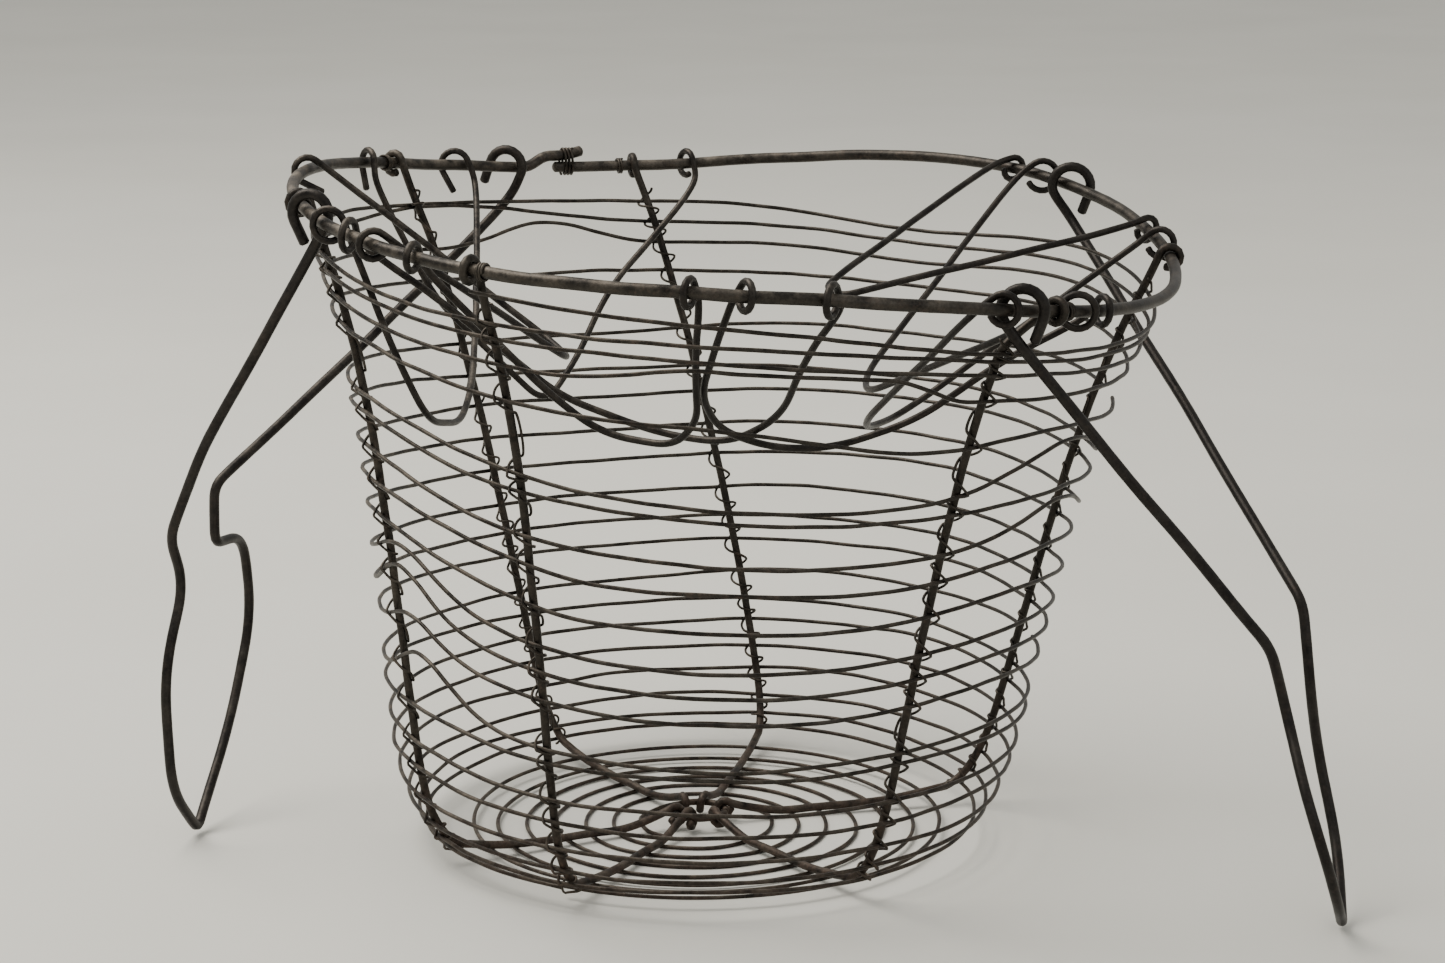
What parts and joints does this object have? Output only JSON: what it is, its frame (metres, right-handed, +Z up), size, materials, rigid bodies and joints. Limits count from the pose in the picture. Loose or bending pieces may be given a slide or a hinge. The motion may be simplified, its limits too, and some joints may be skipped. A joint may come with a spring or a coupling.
{
  "type": "wire egg basket",
  "caption": "Round open wire basket with a heavy rim, ribs, wound side wire, two swinging bail handles and a ring of hinged wire loops that fold in to close its mouth.",
  "frame": {"origin": "middle of the flat base, on the surface that the basket stands on", "axes": "+Z up, out of the basket's mouth; -Y towards the front as pictured; +X to its right, between the two handles"},
  "size_m": [0.3318, 0.2574, 0.1976],
  "materials": {
    "rim_wire": "old dull steel wire, dark oxide with dusty grey worn patches",
    "rib_wire": "old dull steel wire, dark oxide with some rust",
    "side_wire": "thin old steel wire, dusty, rusty towards the base",
    "binding_wire": "thin old tie wire, dusty beige grey",
    "handle_wire": "old dull steel wire, dark oxide, worn by hands",
    "loop_wire": "old dull steel wire, dark oxide"
  },
  "bodies": {
    "basket": {"rim_wire_ring": "rim_wire", "rim_splice_tie": "binding_wire", "rib_hook_ties": "binding_wire", "hub_ring": "rib_wire", "rib_front_left": "rib_wire", "rib_front_right": "rib_wire", "rib_right": "rib_wire", "rib_back": "rib_wire", "rib_back_left": "rib_wire", "rib_left": "rib_wire", "binding_front_left": "binding_wire", "binding_front_right": "binding_wire", "binding_right": "binding_wire", "binding_back": "binding_wire", "binding_back_left": "binding_wire", "binding_left": "binding_wire", "side_wire_top": "side_wire", "side_wire_upper": "side_wire", "side_wire_lower": "side_wire", "base_spiral": "side_wire"},
    "left_handle": {"left_handle": "handle_wire"},
    "right_handle": {"right_handle": "handle_wire"},
    "closing_loop_1": {"closing_loop_1": "loop_wire"},
    "closing_loop_2": {"closing_loop_2": "loop_wire"},
    "closing_loop_3": {"closing_loop_3": "loop_wire"},
    "closing_loop_4": {"closing_loop_4": "loop_wire"},
    "closing_loop_5": {"closing_loop_5": "loop_wire"},
    "closing_loop_6": {"closing_loop_6": "loop_wire"},
    "closing_loop_7": {"closing_loop_7": "loop_wire"},
    "closing_loop_8": {"closing_loop_8": "loop_wire"},
    "closing_loop_9": {"closing_loop_9": "loop_wire"}
  },
  "joints": [
    {"name": "left_handle_swing", "type": "hinge", "parent": "basket", "child": "left_handle", "pos_m": [-0.10446, -0.04884, 0.18999], "axis": [0.2753, 0.9602, -0.0468], "range_deg": [0, 170]},
    {"name": "right_handle_swing", "type": "hinge", "parent": "basket", "child": "right_handle", "pos_m": [0.08407, -0.10113, 0.17251], "axis": [-0.1692, -0.9844, -0.0484], "range_deg": [0, 165]},
    {"name": "closing_loop_1_swing", "type": "hinge", "parent": "basket", "child": "closing_loop_1", "pos_m": [-0.09977, 0.05868, 0.18957], "axis": [-0.8218, -0.5648, 0.075], "range_deg": [0, 41]},
    {"name": "closing_loop_2_swing", "type": "hinge", "parent": "basket", "child": "closing_loop_2", "pos_m": [-0.0982, -0.06155, 0.18863], "axis": [-0.1434, -0.9893, 0.0255], "range_deg": [0, 47]},
    {"name": "closing_loop_3_swing", "type": "hinge", "parent": "basket", "child": "closing_loop_3", "pos_m": [-0.09179, -0.0717, 0.18746], "axis": [0.9253, -0.3738, -0.064], "range_deg": [0, 47]},
    {"name": "closing_loop_4_swing", "type": "hinge", "parent": "basket", "child": "closing_loop_4", "pos_m": [-0.07304, -0.09289, 0.18497], "axis": [0.9141, -0.4022, -0.0505], "range_deg": [0, 19]},
    {"name": "closing_loop_5_swing", "type": "hinge", "parent": "basket", "child": "closing_loop_5", "pos_m": [0.01278, -0.12498, 0.18027], "axis": [0.8952, 0.4318, -0.1105], "range_deg": [0, 33]},
    {"name": "closing_loop_6_swing", "type": "hinge", "parent": "basket", "child": "closing_loop_6", "pos_m": [0.07905, -0.1046, 0.17331], "axis": [0.4131, 0.9106, -0.0136], "range_deg": [0, 29]},
    {"name": "closing_loop_7_swing", "type": "hinge", "parent": "basket", "child": "closing_loop_7", "pos_m": [0.09976, -0.08761, 0.16987], "axis": [0.0348, 0.9966, 0.075], "range_deg": [0, 34]},
    {"name": "closing_loop_8_swing", "type": "hinge", "parent": "basket", "child": "closing_loop_8", "pos_m": [0.13189, 0.03024, 0.17365], "axis": [-0.4948, 0.857, 0.1441], "range_deg": [0, 15]},
    {"name": "closing_loop_9_swing", "type": "hinge", "parent": "basket", "child": "closing_loop_9", "pos_m": [-0.11318, 0.0174, 0.19286], "axis": [0.2793, -0.9581, -0.0634], "range_deg": [0, 33]}
  ],
  "couplings": [
    {"joint": "closing_loop_2_swing", "follows": "closing_loop_1_swing", "ratio": 1.1463},
    {"joint": "closing_loop_3_swing", "follows": "closing_loop_1_swing", "ratio": 1.1463},
    {"joint": "closing_loop_4_swing", "follows": "closing_loop_1_swing", "ratio": 0.4634},
    {"joint": "closing_loop_5_swing", "follows": "closing_loop_1_swing", "ratio": 0.8048},
    {"joint": "closing_loop_6_swing", "follows": "closing_loop_1_swing", "ratio": 0.7073},
    {"joint": "closing_loop_7_swing", "follows": "closing_loop_1_swing", "ratio": 0.8292},
    {"joint": "closing_loop_8_swing", "follows": "closing_loop_1_swing", "ratio": 0.3658},
    {"joint": "closing_loop_9_swing", "follows": "closing_loop_1_swing", "ratio": 0.8048}
  ]
}
